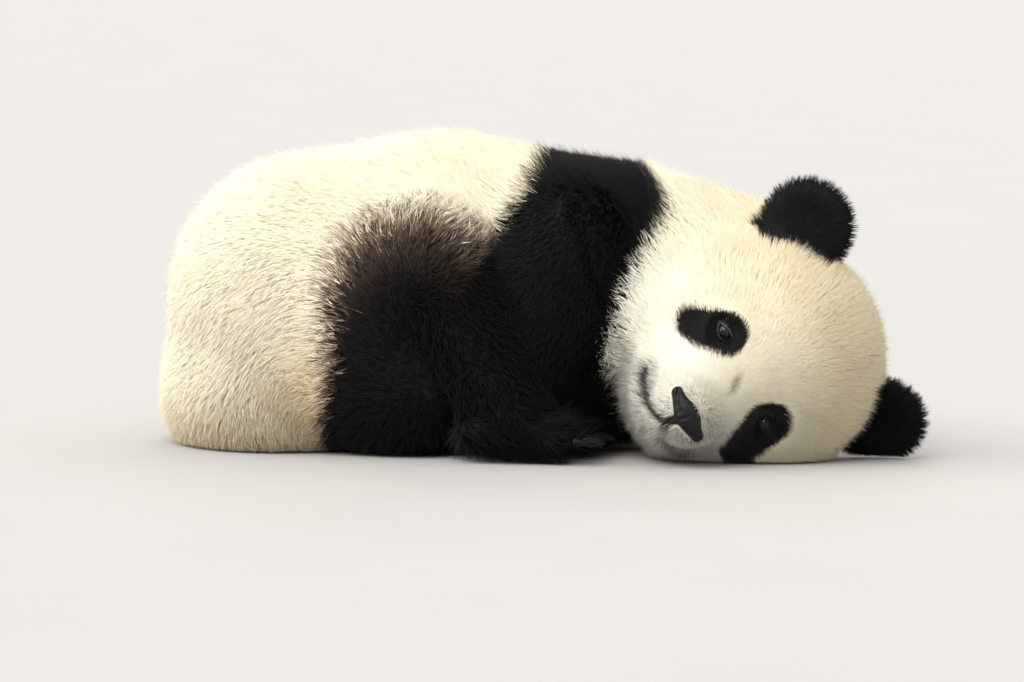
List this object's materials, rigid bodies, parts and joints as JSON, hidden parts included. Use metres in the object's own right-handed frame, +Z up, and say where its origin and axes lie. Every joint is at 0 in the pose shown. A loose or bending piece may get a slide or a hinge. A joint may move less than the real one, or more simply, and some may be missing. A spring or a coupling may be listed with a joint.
{
  "type": "giant panda cub figure",
  "caption": "Life-size giant panda cub sitting curled forward on its folded hind legs with one cheek laid on the ground, resting.",
  "frame": {"origin": "centre of the bounding box's footprint, on the ground plane", "axes": "+X from the rump to the crown of the head, -Y the side that the face looks to, +Z up"},
  "size_m": [0.8146, 0.4554, 0.3348],
  "materials": {
    "cream_coat": "long dense cream fur, golden on the flank",
    "black_coat": "long dense black fur, brownish over the knee",
    "nose_skin": "bare pebbled nose skin, slightly moist",
    "eye": "wet dark eye",
    "claw": "dark horn, finely grooved"
  },
  "bodies": {
    "root": {"rump": "cream_coat", "abdomen": "cream_coat", "neck": "cream_coat", "tail": "cream_coat", "head": "cream_coat", "muzzle": "cream_coat", "jaw": "cream_coat", "chest": "black_coat", "upper_arm_right": "black_coat", "upper_arm_left": "black_coat", "forearm_right": "black_coat", "forearm_left": "black_coat", "fore_paw_right": "black_coat", "fore_paw_left": "black_coat", "thigh_right": "black_coat", "thigh_left": "black_coat", "shin_right": "black_coat", "shin_left": "black_coat", "hind_paw_right": "black_coat", "hind_paw_left": "black_coat", "ear_right": "black_coat", "ear_left": "black_coat", "nose": "nose_skin", "eye_right": "eye", "eye_left": "eye", "claw_fore_right_1": "claw", "claw_fore_right_2": "claw", "claw_fore_right_3": "claw", "claw_fore_right_4": "claw", "claw_fore_right_5": "claw", "claw_fore_left_1": "claw", "claw_fore_left_2": "claw", "claw_fore_left_3": "claw", "claw_fore_left_4": "claw", "claw_fore_left_5": "claw", "claw_hind_right_1": "claw", "claw_hind_right_2": "claw", "claw_hind_right_3": "claw", "claw_hind_right_4": "claw", "claw_hind_right_5": "claw", "claw_hind_left_1": "claw", "claw_hind_left_2": "claw", "claw_hind_left_3": "claw", "claw_hind_left_4": "claw", "claw_hind_left_5": "claw"}
  },
  "joints": []
}
